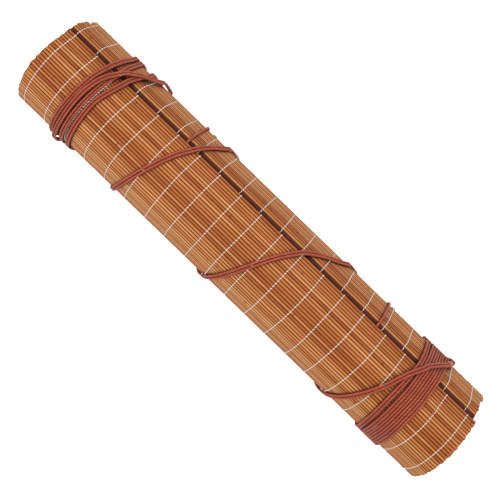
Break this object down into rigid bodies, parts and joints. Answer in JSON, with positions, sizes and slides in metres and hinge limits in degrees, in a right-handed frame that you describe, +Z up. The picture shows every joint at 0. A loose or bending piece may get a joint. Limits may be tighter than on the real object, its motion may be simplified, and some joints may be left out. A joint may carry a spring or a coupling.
{
  "type": "rolled bamboo window blind",
  "caption": "Bamboo roll-up window blind with valance and head rail, rolled up and tied round with its doubled pull cord.",
  "frame": {"origin": "middle of the base that the rolled blind lies on", "axes": "+X along the roll, +Y across it towards the head rail, +Z up"},
  "size_m": [0.6004, 0.1312, 0.1011],
  "materials": {
    "bamboo": "split bamboo, lightly varnished",
    "rail_wood": "dark stained softwood",
    "cotton": "twisted cotton thread",
    "cord": "braided rust coloured cord",
    "acorn_wood": "turned, dark stained",
    "sheave_plastic": "moulded",
    "steel": "zinc plated"
  },
  "bodies": {
    "blind": {"mat_slats_rail": "bamboo", "mat_slats_front": "bamboo", "mat_slats_turn_1": "bamboo", "mat_slats_turn_2": "bamboo", "mat_slats_turn_3": "bamboo", "mat_slats_turn_4": "bamboo", "mat_slats_turn_5": "bamboo", "mat_slats_turn_6": "bamboo", "mat_slats_turn_7": "bamboo", "mat_slats_turn_8": "bamboo", "mat_slats_turn_9": "bamboo", "valance_slats": "bamboo", "mat_threads": "cotton", "valance_threads": "cotton", "mat_tacks": "steel", "valance_tacks": "steel", "cord_right": "cord", "cord_left": "cord", "lift_cord_knots": "cord", "cord_acorn": "acorn_wood", "pulley_right_bracket": "steel", "pulley_right_pin": "steel", "pulley_left_bracket": "steel", "pulley_left_pin": "steel", "pulley_outlet_bracket": "steel", "pulley_outlet_pin": "steel", "pulley_screws": "steel", "hanger_left": "steel", "hanger_right": "steel", "hanger_screws": "steel", "head_rail": "rail_wood", "bottom_rail": "rail_wood"},
    "pulley_right_sheave_body": {"pulley_right_sheave": "sheave_plastic"},
    "pulley_left_sheave_body": {"pulley_left_sheave": "sheave_plastic"},
    "pulley_outlet_sheave_1_body": {"pulley_outlet_sheave_1": "sheave_plastic"},
    "pulley_outlet_sheave_2_body": {"pulley_outlet_sheave_2": "sheave_plastic"}
  },
  "joints": [
    {"name": "right_sheave_spin", "type": "hinge", "parent": "blind", "child": "pulley_right_sheave_body", "pos_m": [0.14925, 0.04136, 0.03067], "axis": [0, 0, 1], "continuous": true},
    {"name": "left_sheave_spin", "type": "hinge", "parent": "blind", "child": "pulley_left_sheave_body", "pos_m": [-0.13075, 0.04136, 0.02467], "axis": [0, 0, 1], "continuous": true},
    {"name": "outlet_sheave_1_spin", "type": "hinge", "parent": "blind", "child": "pulley_outlet_sheave_1_body", "pos_m": [-0.19825, 0.04136, 0.03067], "axis": [0, 0, 1], "continuous": true},
    {"name": "outlet_sheave_2_spin", "type": "hinge", "parent": "blind", "child": "pulley_outlet_sheave_2_body", "pos_m": [-0.19825, 0.04136, 0.02467], "axis": [0, 0, 1], "continuous": true}
  ],
  "couplings": [
    {"joint": "outlet_sheave_1_spin", "follows": "right_sheave_spin", "ratio": 1},
    {"joint": "outlet_sheave_2_spin", "follows": "left_sheave_spin", "ratio": 1}
  ]
}
